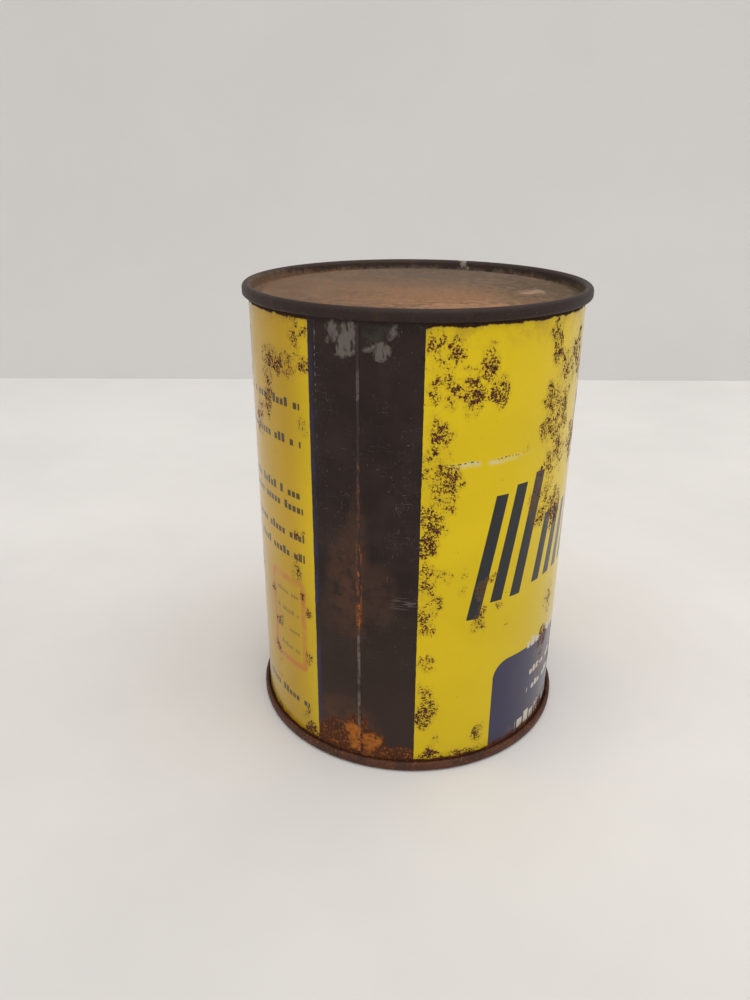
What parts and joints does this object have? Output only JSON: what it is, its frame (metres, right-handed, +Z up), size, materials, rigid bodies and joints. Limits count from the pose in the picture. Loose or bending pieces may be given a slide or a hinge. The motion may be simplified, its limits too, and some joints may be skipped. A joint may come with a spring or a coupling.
{
  "type": "motor oil can",
  "caption": "Closed cylindrical tinplate can for a quart of motor oil, with rolled double seams at both ends and a soldered side seam.",
  "frame": {"origin": "centre of the circle on which the can stands, at the lowest point of the bottom double seam", "axes": "+Z up along the can's axis, -Y out through the soldered side seam, +X to the right of a viewer who faces the seam"},
  "size_m": [0.103, 0.103, 0.1413],
  "materials": {
    "printed_tinplate": "glossy yellow litho print with rust speckle",
    "rusted_tinplate": "bare tinplate gone brown with rust, matt",
    "solder": "dull grey solder",
    "sealing_compound": "matt dried latex compound",
    "oil": "clear amber oil"
  },
  "bodies": {
    "root": {"body_sheet": "printed_tinplate", "side_seam_solder": "solder", "top_end": "rusted_tinplate", "bottom_end": "rusted_tinplate", "top_seam_compound": "sealing_compound", "bottom_seam_compound": "sealing_compound", "oil_fill": "oil"}
  },
  "joints": []
}
